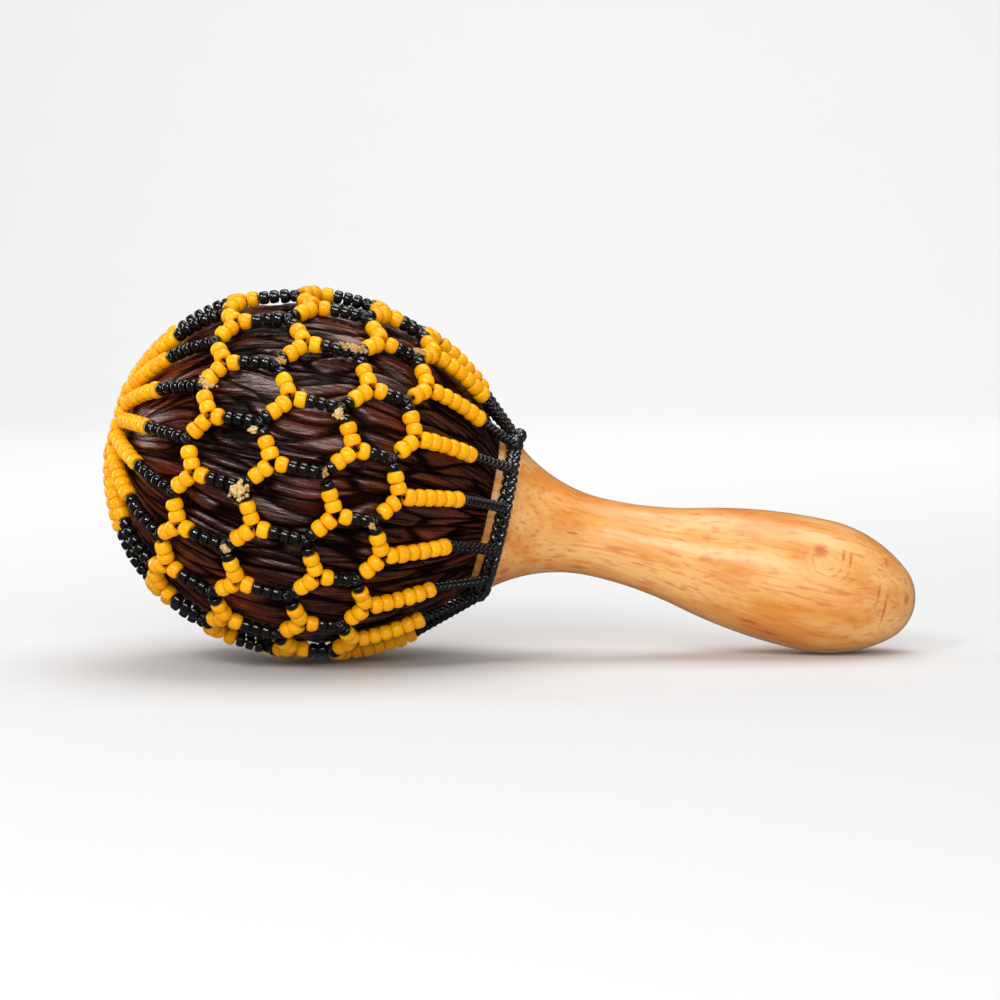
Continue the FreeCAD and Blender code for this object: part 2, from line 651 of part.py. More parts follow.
def build():
    """Makes every node and returns them."""
    yellow = make_bead("yellow_bead", "large")
    black = make_bead("black_bead", "small")
    thin = make_bead("thin_black_bead", "thin")
    nodes = [make_shell(), make_handle()]
    nodes.append(add_group("seeds", make_seeds()))
    ring_beads, ring_thread = make_pole_ring(yellow)
    nodes.append(add_group("pole_ring_beads", ring_beads))
    nodes.append(add_group("pole_ring_thread", ring_thread))
    for name, solids in make_net(yellow, black, thin).items():
        nodes.append(add_group(name, solids))
    nodes.append(make_collar())
    nodes.append(make_collar_knot("upper"))
    nodes.append(make_collar_knot("lower"))
    return nodes


def lay_down(nodes):
    """Turns the nodes into the resting pose, with the middle of the box's underside at the origin."""
    for node in nodes:
        node.Placement = LYING.multiply(node.Placement)
    document.recompute()
    box = FreeCAD.BoundBox()
    for node in nodes:
        box.add(node.Shape.optimalBoundingBox(True, False))
    shift = FreeCAD.Placement(FreeCAD.Vector(-box.Center.x, 0, -box.ZMin), FreeCAD.Rotation())
    for node in nodes:
        node.Placement = shift.multiply(node.Placement)
    document.recompute()
    return shift.Base


def check(nodes):
    for thing in document.Objects:
        if "Invalid" in thing.State or "Error" in thing.State:
            raise RuntimeError("%s failed: %s" % (thing.Label, thing.State))
    for node in nodes:
        if node.Shape.isNull() or not node.Shape.isValid():
            raise RuntimeError("%s has no valid shape" % node.Label)


nodes = build()
origin = lay_down(nodes)
check(nodes)
os.makedirs("parts", exist_ok=True)
for node in nodes:
    node.Shape.exportStep("parts/%s.step" % node.Label)
print("nodes", len(nodes), "solids", sum(len(node.Shape.Solids) for node in nodes))
print("tilt %.3f degrees, the pole lies at %s" % (TILT, origin))
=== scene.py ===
import json
import math
import random

import bmesh
import bpy
import numpy as np
from mathutils import Matrix, Vector, noise


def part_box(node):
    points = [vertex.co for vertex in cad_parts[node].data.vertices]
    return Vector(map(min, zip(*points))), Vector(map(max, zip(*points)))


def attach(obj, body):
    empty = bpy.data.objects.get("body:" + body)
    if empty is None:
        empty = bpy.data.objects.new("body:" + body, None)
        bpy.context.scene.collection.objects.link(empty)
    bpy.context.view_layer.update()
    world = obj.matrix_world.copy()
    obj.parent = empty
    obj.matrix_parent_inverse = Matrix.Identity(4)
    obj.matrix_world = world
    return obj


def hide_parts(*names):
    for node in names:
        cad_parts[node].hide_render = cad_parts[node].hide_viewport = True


# The looks of a beaded hand shaker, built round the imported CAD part. Lengths are in metres unless a name
# or a comment says otherwise. Places on the instrument are given in its own frame: the station is the
# distance along the axis from the shell's pole, the radius is the distance from the axis, and the angle
# turns upwards from the near side, -Y.

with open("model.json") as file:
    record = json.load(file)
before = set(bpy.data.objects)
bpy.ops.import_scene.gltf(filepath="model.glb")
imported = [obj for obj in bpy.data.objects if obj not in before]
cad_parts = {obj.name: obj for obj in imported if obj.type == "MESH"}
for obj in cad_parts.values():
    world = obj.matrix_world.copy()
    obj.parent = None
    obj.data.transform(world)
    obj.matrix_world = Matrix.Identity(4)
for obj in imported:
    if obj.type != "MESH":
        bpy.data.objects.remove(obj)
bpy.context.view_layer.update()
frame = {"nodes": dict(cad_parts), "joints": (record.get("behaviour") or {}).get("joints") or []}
rng = random.Random(7)

MM = 0.001
twist = next(joint for joint in frame["joints"] if joint["name"] == "net_twist")
AXIS = Vector(twist["axis"]).normalized()
NEAR = Vector((0, -1, 0))
UP = NEAR.cross(AXIS).normalized()
TILT = math.asin(-AXIS.z)
BELLY_STATION = 47.3 * MM
POLE = Vector(twist["pos_m"]) - AXIS * BELLY_STATION


def outwards(angle):
    """The direction away from the axis at an angle in radians."""
    return NEAR * math.cos(angle) + UP * math.sin(angle)


def at(station, radius, angle):
    """A point in the instrument's frame, with the angle in degrees."""
    return POLE + AXIS * station + outwards(math.radians(angle)) * radius


def where(point):
    """The station, the radius and the angle in degrees of a point."""
    arm = Vector(point) - POLE
    near, up = arm.dot(NEAR), arm.dot(UP)
    return arm.dot(AXIS), math.hypot(near, up), math.degrees(math.atan2(up, near))


# ---------------------------------------------------------------- camera

CAMERA_TARGET = Vector((0.0, 0.0, 0.045))
CAMERA_AIM = Vector((-0.0034, 0.0, 0.0404))
CAMERA_YAW, CAMERA_ELEVATION, CAMERA_ROLL = (math.radians(a) for a in (-4.32, 3.65, -0.30))
CAMERA_DISTANCE = 0.7649
CAMERA_LENS = 108.0


def make_camera():
    """A long lens from the near side, a little to the shell's end and a little above."""
    back = Vector((
        math.sin(CAMERA_YAW) * math.cos(CAMERA_ELEVATION),
        -math.cos(CAMERA_YAW) * math.cos(CAMERA_ELEVATION),
        math.sin(CAMERA_ELEVATION),
    ))
    data = bpy.data.cameras.new("camera")
    data.lens = CAMERA_LENS
    data.sensor_width = 36.0
    data.clip_start = 0.05
    camera = bpy.data.objects.new("camera", data)
    camera.location = CAMERA_TARGET + back * CAMERA_DISTANCE
    facing = (CAMERA_AIM - camera.location).to_track_quat("-Z", "Y")
    camera.rotation_mode = "QUATERNION"
    camera.rotation_quaternion = facing @ Matrix.Rotation(CAMERA_ROLL, 3, "Z").to_quaternion()
    bpy.context.scene.collection.objects.link(camera)
    bpy.context.scene.camera = camera


make_camera()


# ---------------------------------------------------------------- meshes


class Mesh:
    """Collects grids of points and becomes one smooth object."""

    def __init__(self):
        self.points = []
        self.faces = []
        self.count = 0

    def grid(self, points, wrap_rows=False, wrap_columns=True):
        """Adds quads between neighbouring rows and columns of an array of points."""
        rows, columns = points.shape[:2]
        index = np.arange(rows * columns).reshape(rows, columns) + self.count
        if wrap_rows:
            index = np.vstack([index, index[:1]])
        if wrap_columns:
            index = np.hstack([index, index[:, :1]])
        quads = np.stack([index[:-1, :-1], index[:-1, 1:], index[1:, 1:], index[1:, :-1]], axis=-1)
        self.points.append(points.reshape(-1, 3))
        self.faces.append(quads.reshape(-1, 4))
        self.count += rows * columns

    def surface(self, points, faces):
        """Adds a ready list of points and faces with the same number of corners each."""
        self.points.append(np.asarray(points))
        self.faces.append(np.asarray(faces) + self.count)
        self.count += len(points)

    def tube(self, path, radius, sides=8, closed=False):
        """Adds a round tube along a path. An open tube's ends are drawn in to a point."""
        path = np.asarray(path, float)
        tangent = np.roll(path, -1, axis=0) - np.roll(path, 1, axis=0)
        if not closed:
            tangent[0], tangent[-1] = path[1] - path[0], path[-1] - path[-2]
        tangent /= np.linalg.norm(tangent, axis=1, keepdims=True)
        normals = [np.cross(tangent[0], [0.31, 0.52, 0.79])]
        for i in range(1, len(path) + closed):
            along = tangent[i % len(path)]
            normals.append(normals[-1] - along * along.dot(normals[-1]))
            normals[-1] /= np.linalg.norm(normals[-1])
        normals[0] /= np.linalg.norm(normals[0])
        slip = 0.0
        if closed:
            across = np.cross(tangent[0], normals[0])
            slip = math.atan2(normals[-1].dot(across), normals[-1].dot(normals[0]))
            normals = normals[:-1]
        normals = np.array(normals)
        others = np.cross(tangent, normals)
        turn = np.arange(sides) * 2 * math.pi / sides
        unwind = -slip * np.arange(len(path)) / len(path)
        angle = turn[None, :] + unwind[:, None]
        radii = np.broadcast_to(np.asarray(radius, float), len(path)).copy()
        if not closed:
            radii[0] = radii[-1] = radii.max() * 0.02
        ring = np.cos(angle)[..., None] * normals[:, None] + np.sin(angle)[..., None] * others[:, None]
        self.grid(path[:, None] + ring * radii[:, None, None], wrap_rows=closed)

    def become(self, name, material, body, slot, nodes, smooth=True):
        """Makes the object, which rides on a body and stands for CAD nodes."""
        mesh = bpy.data.meshes.new(name)
        faces = [face for block in self.faces for face in block.tolist()]
        mesh.from_pydata(np.vstack(self.points).tolist(), [], faces)
        mesh.polygons.foreach_set("use_smooth", [smooth] * len(mesh.polygons))
        mesh.materials.append(material)
        mesh.update()
        piece = bpy.data.objects.new(name, mesh)
        bpy.context.scene.collection.objects.link(piece)
        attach(piece, body)
        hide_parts(*nodes)
        return piece


def add_values(piece, name, kind, field, values):
    """Stores a value per corner point for the piece's material."""
    attribute = piece.data.attributes.new(name, kind, "POINT")
    attribute.data.foreach_set(field, np.asarray(values, np.float32).ravel())


def corner_points(node):
    """The places of the corners of a CAD node's mesh."""
    mesh = frame["nodes"][node].data
    points = np.empty(len(mesh.vertices) * 3, np.float32)
    mesh.vertices.foreach_get("co", points)
    return points.reshape(-1, 3).astype(float)


def solids(node):
    """The corners of each separate solid in a CAD node, as arrays of points."""
    mesh = frame["nodes"][node].data
    points = corner_points(node)
    corners = np.empty(len(mesh.loops), np.int32)
    mesh.loops.foreach_get("vertex_index", corners)
    micron = np.round(points * 1e6).astype(np.int64) + 2**19
    key = (micron[:, 0] * 2**20 + micron[:, 1]) * 2**20 + micron[:, 2]
    _, weld = np.unique(key, return_inverse=True)
    triangles = weld[corners].reshape(-1, 3)
    label = np.arange(weld.max() + 1)
    while True:
        lowest = label[triangles].min(axis=1)
        spread = label.copy()
        np.minimum.at(spread, triangles.ravel(), np.repeat(lowest, 3))
        spread = spread[spread]
        if np.array_equal(spread, label):
            break
        label = spread
    owner = label[weld]
    order = np.argsort(owner, kind="stable")
    cuts = np.flatnonzero(np.diff(owner[order])) + 1
    return [np.unique(points[group], axis=0) for group in np.split(order, cuts)]


def round_solids(node):
    """The centre, the axis and the half length of each round solid in a CAD node."""
    found = []
    for corners in solids(node):
        centre = (corners.min(axis=0) + corners.max(axis=0)) / 2
        for _ in range(2):
            arms = corners - centre
            spread, directions = np.linalg.eigh(arms.T @ arms)
            odd = 0 if spread[1] - spread[0] > spread[2] - spread[1] else 2
            axis = directions[:, odd]
            frame_axes = directions.T
            reach = arms @ frame_axes.T
            centre = centre + ((reach.min(axis=0) + reach.max(axis=0)) / 2) @ frame_axes
        reach = (corners - centre) @ axis
        found.append((centre, axis, (reach.max() - reach.min()) / 2))
    return found


# ---------------------------------------------------------------- materials


class Shader:
    """Short calls for building a node material."""

    def __init__(self, name, **values):
        self.material = bpy.data.materials.new(name)
        self.material.use_nodes = True
        self.tree = self.material.node_tree
        self.bsdf = self.tree.nodes["Principled BSDF"]
        for socket, value in values.items():
            self.set(self.bsdf, socket.replace("_", " "), value)

    def set(self, node, socket, value):
        if isinstance(value, bpy.types.NodeSocket):
            self.tree.links.new(value, node.inputs[socket])
        else:
            node.inputs[socket].default_value = value

    def node(self, kind, output=0, inputs=(), **settings):
        """Adds a node and returns one of its outputs."""
        made = self.tree.nodes.new("ShaderNode" + kind)
        for name, value in settings.items():
            setattr(made, name, value)
        for socket, value in dict(inputs).items():
            self.set(made, socket, value)
        return made.outputs[output]

    def attribute(self, name, output):
        return self.node("Attribute", output, attribute_name=name)

    def scaled(self, vector, scale):
        return self.node("Mapping", inputs={"Vector": vector, "Scale": scale})

    def noise(self, vector, scale, detail=3.0, roughness=0.55, distortion=0.0):
        return self.node("TexNoise", "Fac", inputs={
            "Vector": vector, "Scale": scale, "Detail": detail, "Roughness": roughness,
            "Distortion": distortion,
        })

    def range(self, value, low, high, to_low=0.0, to_high=1.0):
        return self.node("MapRange", inputs={
            "Value": value, "From Min": low, "From Max": high, "To Min": to_low, "To Max": to_high,
        })

    def mix(self, share, one, other, blend="MIX"):
        made = self.tree.nodes.new("ShaderNodeMix")
        made.data_type = "RGBA"
        made.blend_type = blend
        self.set(made, 0, share)
        self.set(made, 6, one)
        self.set(made, 7, other)
        return made.outputs[2]

    def math(self, operation, one, other=0.0):
        return self.node("Math", inputs={0: one, 1: other}, operation=operation)

    def bump(self, height, depth_mm, strength=1.0):
        """Roughens the surface by a height from 0 to 1, which stands for a depth."""
        normal = self.node("Bump", inputs={
            "Height": height, "Distance": depth_mm * MM, "Strength": strength,
        })
        self.set(self.bsdf, "Normal", normal)


def rgb(red, green, blue):
    """A colour given as screen values from 0 to 255."""
    linear = [
        (c / 255 / 12.92) if c <= 10 else ((c / 255 + 0.055) / 1.055) ** 2.4 for c in (red, green, blue)
    ]
    return (*linear, 1.0)


def bead_material(name, colour, deep_colour, roughness, specular, glow):
    """Opaque glass, a little different from bead to bead and clouded inside each."""
    shader = Shader(name, Roughness=roughness, Specular_IOR_Level=specular)
    if glow:
        shader.set(shader.bsdf, "Subsurface Weight", glow)
        shader.set(shader.bsdf, "Subsurface Radius", (1.0, 0.6, 0.1))
        shader.set(shader.bsdf, "Subsurface Scale", 1.0 * MM)
    each = shader.node("NewGeometry", "Random Per Island")
    place = shader.node("TexCoord", "Object")
    cloud = shader.noise(place, 900.0, detail=2.0)
    share = shader.math("ADD", shader.math("MULTIPLY", each, 0.6), shader.range(cloud, 0.35, 0.7, 0, 0.4))
    shader.set(shader.bsdf, "Base Color", shader.mix(share, colour, deep_colour))
    shader.bump(shader.noise(place, 1400.0, detail=1.0), 0.04, 0.6)
    return shader.material


def cord_material(name, colour, pale_fibre_and_sheen_colour, roughness, fibre_mm, specular):
    """Waxed fibre: dark, with a fine broken sheen and paler fibres that are partly wear and partly painted
    sheen.
    """
    shader = Shader(name, Roughness=roughness, Specular_IOR_Level=specular)
    place = shader.node("TexCoord", "Object")
    fibre = shader.noise(place, 1 / (fibre_mm * MM), detail=3.0, roughness=0.7)
    # Painted sheen in part: the pale fibre flecks stand both for wear and for highlights on the cord.
    worn_fibre_and_sheen = shader.range(fibre, 0.62, 0.78)
    shader.set(shader.bsdf, "Base Color", shader.mix(worn_fibre_and_sheen, colour, pale_fibre_and_sheen_colour))
    shader.bump(fibre, 0.1, 0.8)
    return shader.material


def shell_material():
    """Carved dark husk: brown ridges with a dull rosy sheen, redder near the pole, and grooves painted
    near-black as painted shade.
    """
    shader = Shader("carved_shell", Specular_Tint=(1.0, 0.86, 0.82, 1.0))
    grain = shader.attribute("grain", "Vector")
    crest = shader.attribute("crest", "Fac")
    polar = shader.attribute("polar", "Fac")
    streak = shader.noise(shader.scaled(grain, (1.0, 1.0, 0.06)), 1.5, detail=6.0, roughness=0.68)
    patch = shader.noise(shader.scaled(grain, (0.06, 0.06, 0.035)), 1.0, detail=3.0)
    fine = shader.noise(shader.scaled(grain, (1.0, 1.0, 0.14)), 4.5, detail=4.0, roughness=0.7)

    ridge = shader.mix(shader.range(streak, 0.4, 0.64), rgb(14, 5, 2), rgb(78, 28, 12))
    ridge = shader.mix(shader.range(patch, 0.5, 0.7, 0.0, 0.6), ridge, rgb(132, 44, 14))
    cap = shader.mix(shader.range(streak, 0.35, 0.68), rgb(36, 12, 5), rgb(128, 48, 18))
    colour = shader.mix(polar, ridge, cap)
    # Painted shade: the grooves between the ridges are painted near-black, darker the lower the crest
    # value.
    colour = shader.mix(shader.range(crest, 0.1, 0.75, 0.95, 0.0), colour, rgb(4, 2, 1))
    shader.set(shader.bsdf, "Base Color", colour)
    shine = shader.math("MULTIPLY", shader.range(crest, 0.25, 0.8, 0.1, 1.0),
                        shader.range(streak, 0.42, 0.62, 0.3, 1.9))
    shader.set(shader.bsdf, "Specular IOR Level", shine)
    shader.set(shader.bsdf, "Roughness", shader.range(fine, 0.3, 0.75, 0.22, 0.38))
    height = shader.math("ADD", shader.math("MULTIPLY", streak, 0.7), shader.math("MULTIPLY", fine, 0.3))
    shader.bump(height, 0.16, 0.8)
    return shader.material


def in_axis_frame(shader):
    """Object coordinates turned into the instrument's frame, in millimetres."""
    return shader.node("Mapping", inputs={
        "Vector": shader.node("TexCoord", "Object"),
        "Location": POLE, "Rotation": (0.0, TILT, 0.0), "Scale": (MM, MM, MM),
    }, vector_type="TEXTURE")


# Small brown marks in the wood and the figure round a knot, as (station, angle, half of the length, half
# of the width), in millimetres and degrees.
WOOD_MARKS = [
    (101.0, -48.0, 3.0, 1.5), (99.6, -60.0, 2.8, 1.5), (119.5, -52.0, 3.0, 1.1), (116.0, 2.0, 3.4, 0.5),
    (177.4, 35.0, 2.4, 2.6), (203.0, 12.0, 1.2, 2.0), (164.0, -48.0, 5.0, 0.9), (170.0, -56.0, 4.0, 1.0),
    (183.5, 34.0, 0.5, 2.4), (185.5, 33.0, 0.5, 2.8), (194.5, 10.0, 0.5, 2.6), (197.0, -6.0, 0.5, 5.5),
]
KNOT_FIGURE = (179.5, 22.0, 9.0, 8.0)


def wood_material():
    """Pale turned wood under gloss varnish: mottled, with lengthwise grain, dashes and a knot figure."""
    shader = Shader("varnished_wood", Roughness=0.5, Specular_IOR_Level=0.3, Coat_Weight=1.0,
                    Coat_Roughness=0.22)
    place = in_axis_frame(shader)
    tone = shader.noise(shader.scaled(place, (0.3, 1.0, 1.0)), 0.11, detail=3.0)
    lines = shader.noise(shader.scaled(place, (0.03, 1.0, 1.0)), 1.1, detail=5.0, distortion=0.6)
    dashes = shader.noise(shader.scaled(place, (0.16, 1.0, 1.0)), 0.85, detail=3.0, roughness=0.45)
    pores = shader.noise(shader.scaled(place, (0.12, 1.0, 1.0)), 5.0, detail=2.0)

    colour = shader.mix(shader.range(tone, 0.38, 0.62), rgb(228, 146, 60), rgb(246, 188, 114))
    colour = shader.mix(shader.range(lines, 0.5, 0.7, 0.0, 0.6), colour, rgb(216, 120, 30))
    colour = shader.mix(shader.range(dashes, 0.56, 0.7, 0.0, 0.55), colour, rgb(208, 100, 24))
    colour = shader.mix(shader.range(pores, 0.62, 0.74, 0.0, 0.18), colour, rgb(190, 100, 34))

    figure = shader.math("ADD", reach_from(shader, place, *KNOT_FIGURE),
                         shader.range(tone, 0.3, 0.7, -0.25, 0.25))
    rings = shader.math("SINE", shader.math("MULTIPLY", figure, 24.0))
    fade = shader.math("MULTIPLY", shader.range(figure, 0.25, 1.0, 1.0, 0.0),
                       shader.range(dashes, 0.4, 0.6, 0.1, 1.0))
    colour = shader.mix(shader.range(figure, 0.2, 0.9, 0.5, 0.0), colour, rgb(252, 204, 134))
    colour = shader.mix(shader.math("MULTIPLY", shader.range(rings, 0.5, 1.0, 0.0, 0.7), fade), colour,
                        rgb(206, 102, 28))
    for mark in WOOD_MARKS:
        reach = shader.math("ADD", reach_from(shader, place, *mark),
                            shader.range(pores, 0.3, 0.7, -0.4, 0.4))
        colour = shader.mix(shader.range(reach, 0.3, 1.0, 0.75, 0.0), colour, rgb(192, 84, 12))
    shader.set(shader.bsdf, "Base Color", colour)
    shader.bump(pores, 0.02, 0.5)
    return shader.material


def reach_from(shader, place, station_mm, angle, half_length, half_width):
    """How far a place is from a point of the handle's surface: 1 at the half length or half width."""
    centre = surface_point(station_mm, angle)
    offset = shader.node("VectorMath", inputs={0: place, 1: centre}, operation="SUBTRACT")
    offset = shader.scaled(offset, (1 / half_length, 1 / half_width, 1 / half_width))
    return shader.node("VectorMath", "Value", inputs={0: offset}, operation="LENGTH")


def surface_point(station_mm, angle):
    """A point of the handle's surface in the axis frame, in millimetres."""
    radius = handle_radius(station_mm)
    turn = math.radians(angle)
    return (station_mm, -radius * math.cos(turn), radius * math.sin(turn))


def handle_radius(station_mm):
    """The handle's radius at a station, read from the CAD node, in millimetres."""
    best = min(HANDLE_PROFILE, key=lambda pair: abs(pair[0] - station_mm))
    return best[1]


def read_profile(node):
    """Pairs of station and radius of a turned CAD node's corners, in millimetres."""
    arms = corner_points(node) - np.array(POLE)
    stations = arms @ np.array(AXIS)
    radii = np.hypot(arms @ np.array(NEAR), arms @ np.array(UP))
    pairs = np.unique(np.round(np.stack([stations, radii], axis=1) / MM, 2), axis=0)
    return [tuple(pair) for pair in pairs.tolist()]


HANDLE_PROFILE = read_profile("handle")


def glue_material():
    """Dried glue: sandy crumbs, from cream through ochre to a translucent grey by the dab's tone."""
    shader = Shader("dried_glue", Roughness=0.6)
    place = shader.node("TexCoord", "Object")
    tone = shader.attribute("tone", "Fac")
    patch = shader.noise(place, 900.0, detail=3.0)
    crumb = shader.noise(place, 2200.0, detail=3.0, roughness=0.7)
    colour = shader.mix(shader.range(patch, 0.35, 0.65), rgb(252, 222, 152), rgb(240, 206, 136))
    colour = shader.mix(shader.range(tone, 0.0, 0.6), colour, rgb(214, 160, 78))
    colour = shader.mix(shader.range(tone, 0.6, 1.0), colour, rgb(178, 170, 158))
    colour = shader.mix(shader.range(crumb, 0.5, 0.62, 0.0, 0.75), colour, rgb(120, 84, 42))
    shader.set(shader.bsdf, "Base Color", colour)
    shader.bump(crumb, 0.35, 1.0)
    return shader.material


def seed_material():
    """Dry brown seeds, mottled."""
    shader = Shader("seeds", Roughness=0.5)
    place = shader.node("TexCoord", "Object")
    mottle = shader.noise(place, 1200.0, detail=4.0)
    shader.set(shader.bsdf, "Base Color", shader.mix(mottle, rgb(96, 58, 30), rgb(172, 122, 76)))
    shader.bump(mottle, 0.1, 0.6)
    return shader.material


YELLOW = bead_material("yellow_glass", rgb(255, 188, 0), rgb(255, 162, 0), 0.23, 0.5, 0.25)
BLACK = bead_material("black_glass", rgb(9, 9, 9), rgb(3, 3, 3), 0.1, 1.0, 0.0)
CORD = cord_material("black_cord", rgb(5, 4, 4), rgb(84, 72, 62), 0.26, 0.5, 1.0)
WAXED = cord_material("waxed_cord", rgb(5, 5, 5), rgb(40, 36, 32), 0.14, 0.9, 2.0)
THREAD = cord_material("waxed_thread", rgb(24, 18, 14), rgb(88, 74, 58), 0.5, 0.2, 0.4)
GLUE = glue_material()


# ---------------------------------------------------------------- beads


def bead_outline(half, radius, face, hole, roundness):
    """Closed outline of a bead's wall: places along the bead and distances from its middle.

    The outside bulges from one end face to the other, and the hole runs straight between rounded mouths.
    """
    turn = np.linspace(0, math.pi, 11)
    bulge = np.sign(np.cos(turn)) * np.abs(np.cos(turn)) ** roundness
    mouth = np.array([-0.97, -0.84, 0.84, 0.97])
    mouth_width = np.array([1.2, 1.0, 1.0, 1.2])
    along = np.concatenate([bulge, mouth]) * half
    out = np.concatenate([face + (radius - face) * np.sin(turn) ** roundness, mouth_width * hole])
    return along, out


def string_beads(name, node, material, slot, stretch, radius, face, hole, sides):
    """Replaces a node of plain beads by glass ones, each a little different in size, shape and tilt."""
    mesh = Mesh()
    turn = np.arange(sides) * 2 * math.pi / sides
    for centre, axis, half in round_solids(node):
        along, out = bead_outline(
            half * stretch * rng.uniform(0.96, 1.03), radius * rng.uniform(0.95, 1.04),
            face * rng.uniform(0.85, 1.15), hole, rng.uniform(0.72, 0.98),
        )
        axis = Vector(axis).normalized()
        axis = (axis + Vector([rng.gauss(0, 0.06) for _ in range(3)])).normalized()
        side = axis.orthogonal().normalized()
        other = axis.cross(side)
        lean = 1 + rng.gauss(0, 0.05) * np.cos(turn - rng.uniform(0, 2 * math.pi))
        oval = 1 + rng.gauss(0, 0.015) * np.cos(2 * turn - rng.uniform(0, 2 * math.pi))
        taper = 1 + rng.gauss(0, 0.04) * along / half
        ring = np.cos(turn)[:, None] * np.array(side) + np.sin(turn)[:, None] * np.array(other)
        points = (
            np.array(centre)
            + along[:, None, None] * lean[None, :, None] * np.array(axis)
            + (out * taper)[:, None, None] * (oval[:, None] * ring)[None]
        )
        mesh.grid(points, wrap_rows=True)
    return mesh.become(name, material, "net", slot, [node])


# Glass beads are a little longer than their plain CAD solids, so that they touch on the thread.
LARGE = {"stretch": 1.1, "radius": 2.08 * MM, "face": 1.15 * MM, "hole": 0.6 * MM, "sides": 20}
SMALL = {"stretch": 1.09, "radius": 1.72 * MM, "face": 1.15 * MM, "hole": 0.5 * MM, "sides": 18}
YELLOW_NODES = [node for node in frame["nodes"] if node.startswith("yellow") or node in (
    "pole_ring_beads", "pole_strand_beads", "neck_strand_beads")]
BLACK_NODES = [node for node in frame["nodes"] if node.startswith("black")]

for node in YELLOW_NODES:
    string_beads(node + "_glass", node, YELLOW, "yellow_beads", **LARGE)
for node in BLACK_NODES:
    string_beads(node + "_glass", node, BLACK, "black_beads", **SMALL)


# ---------------------------------------------------------------- knots and glue


def rough_ball(subdivisions):
    """The points and triangles of a ball that is ready to be roughened."""
    maker = bmesh.new()
    bmesh.ops.create_icosphere(maker, subdivisions=subdivisions, radius=1.0)
    points = [vertex.co.copy() for vertex in maker.verts]
    faces = np.array([[vertex.index for vertex in face.verts] for face in maker.faces])
    maker.free()
    return points, faces


KNOT_THREAD, KNOT_ROUNDS = 0.36 * MM, 4
CRUMB_POINTS, CRUMB_FACES = rough_ball(2)
LUMP_POINTS, LUMP_FACES = rough_ball(4)


def random_direction():
    """An arrow of length 1 that points anywhere."""
    return Vector([rng.gauss(0, 1) for _ in range(3)]).normalized()


def wind_ball(mesh, centre, radius, strand, rounds):
    """A thread wound round and round a small core, as a tight knot looks."""
    axis = random_direction()
    side = axis.orthogonal().normalized()
    basis = np.array([side, axis.cross(side), axis])
    turn = np.linspace(0, 2 * math.pi * rounds, 14 * rounds)
    swing = turn * 2.4 / rounds
    tilt = 1.15 + 0.3 * np.sin(turn * 0.7)
    first = np.stack([np.cos(swing), np.sin(swing), 0 * swing], axis=1)
    second = np.stack([
        -np.sin(swing) * np.cos(tilt), np.cos(swing) * np.cos(tilt), np.sin(tilt)
    ], axis=1)
    path = (first * np.cos(turn)[:, None] + second * np.sin(turn)[:, None]) * radius
    mesh.tube(np.array(centre) + path @ basis, strand, sides=7)
    mesh.surface(np.array(centre) + np.array(CRUMB_POINTS) * radius * 0.9, CRUMB_FACES)


def tie_knots(name, node):
    """Small wound knots where the arms of the net meet."""
    mesh = Mesh()
    for centre, _, _ in round_solids(node):
        wind_ball(mesh, centre, rng.uniform(1.15, 1.4) * MM, KNOT_THREAD, KNOT_ROUNDS)
    return mesh.become(name, CORD, "net", "black_cord", [node])


tie_knots("junction_knot_threads", "junction_knots")


def lump(mesh, centre, axes, points, faces):
    """One lump of dried glue: an uneven ball with a sandy skin, stretched along three axes."""
    seed = random_direction() * 50
    heights = [
        1 + 0.4 * noise.noise(point * 1.8 + seed) + 0.35 * noise.noise(point * 4.5 + seed)
        + 0.3 * noise.noise(point * 9.0 + seed)
        for point in points
    ]
    rough = np.array(points) * np.array(heights)[:, None]
    mesh.surface(np.array(centre) + rough @ np.array(axes), faces)


FIBRE_POINTS, FIBRE_SIDES = 9, 5


def fibre(mesh, centre, length):
    """A stray bristle stuck in the glue."""
    lean, bend = random_direction(), random_direction()
    share = np.linspace(-0.5, 0.5, FIBRE_POINTS)
    path = share[:, None] * np.array(lean) + (share**2 * 0.8)[:, None] * np.array(bend)
    mesh.tube(np.array(centre) + path * length, 0.05 * MM, sides=FIBRE_SIDES)


# The larger glue dabs: distance from the pole, angle, length, height, thickness, tone from cream to
# grey, how far the dab lies along the axis and upwards of its knot, crumbs and bristles. Millimetres
# and degrees.
DABS = [
    (17, 28, 3.6, 2.2, 1.6, 0.2, 1.2, 0.6, 5, 1), (33, 16, 1.7, 1.7, 1.5, 0.0, -1.1, -2.4, 3, 0),
    (34, 37, 1.8, 1.2, 1.2, 0.5, 0.9, 0.2, 16, 9), (32, -5, 3.2, 3.4, 2.0, 0.1, -0.5, -0.8, 16, 1),
    (31, -26, 1.8, 1.8, 1.6, 0.1, 0.5, 0.2, 14, 1), (52, 47, 5.6, 1.4, 1.2, 0.5, -1.6, 0.4, 60, 24),
    (51, 25, 1.8, 2.6, 1.6, 0.05, -0.5, -2.0, 4, 1), (50, 4, 0.9, 2.2, 1.2, 0.6, 0.2, 0.4, 2, 0),
    (67, 56, 2.8, 1.8, 1.4, 0.5, 0.0, 1.0, 9, 5), (64, -7, 1.3, 1.6, 1.0, 0.5, -0.2, -0.8, 2, 0),
]


def dab_of(station, angle):
    """The size and place of the dab on a knot: one from the list, or a small one."""
    for dab in DABS:
        if math.hypot(dab[0] - station / MM, dab[1] - angle) < 5:
            return dab[2:]
    return (rng.uniform(1.4, 3.2), rng.uniform(1.2, 2.6), 1.3, rng.uniform(0.0, 0.7), 0.0, 0.0, 4, 1)


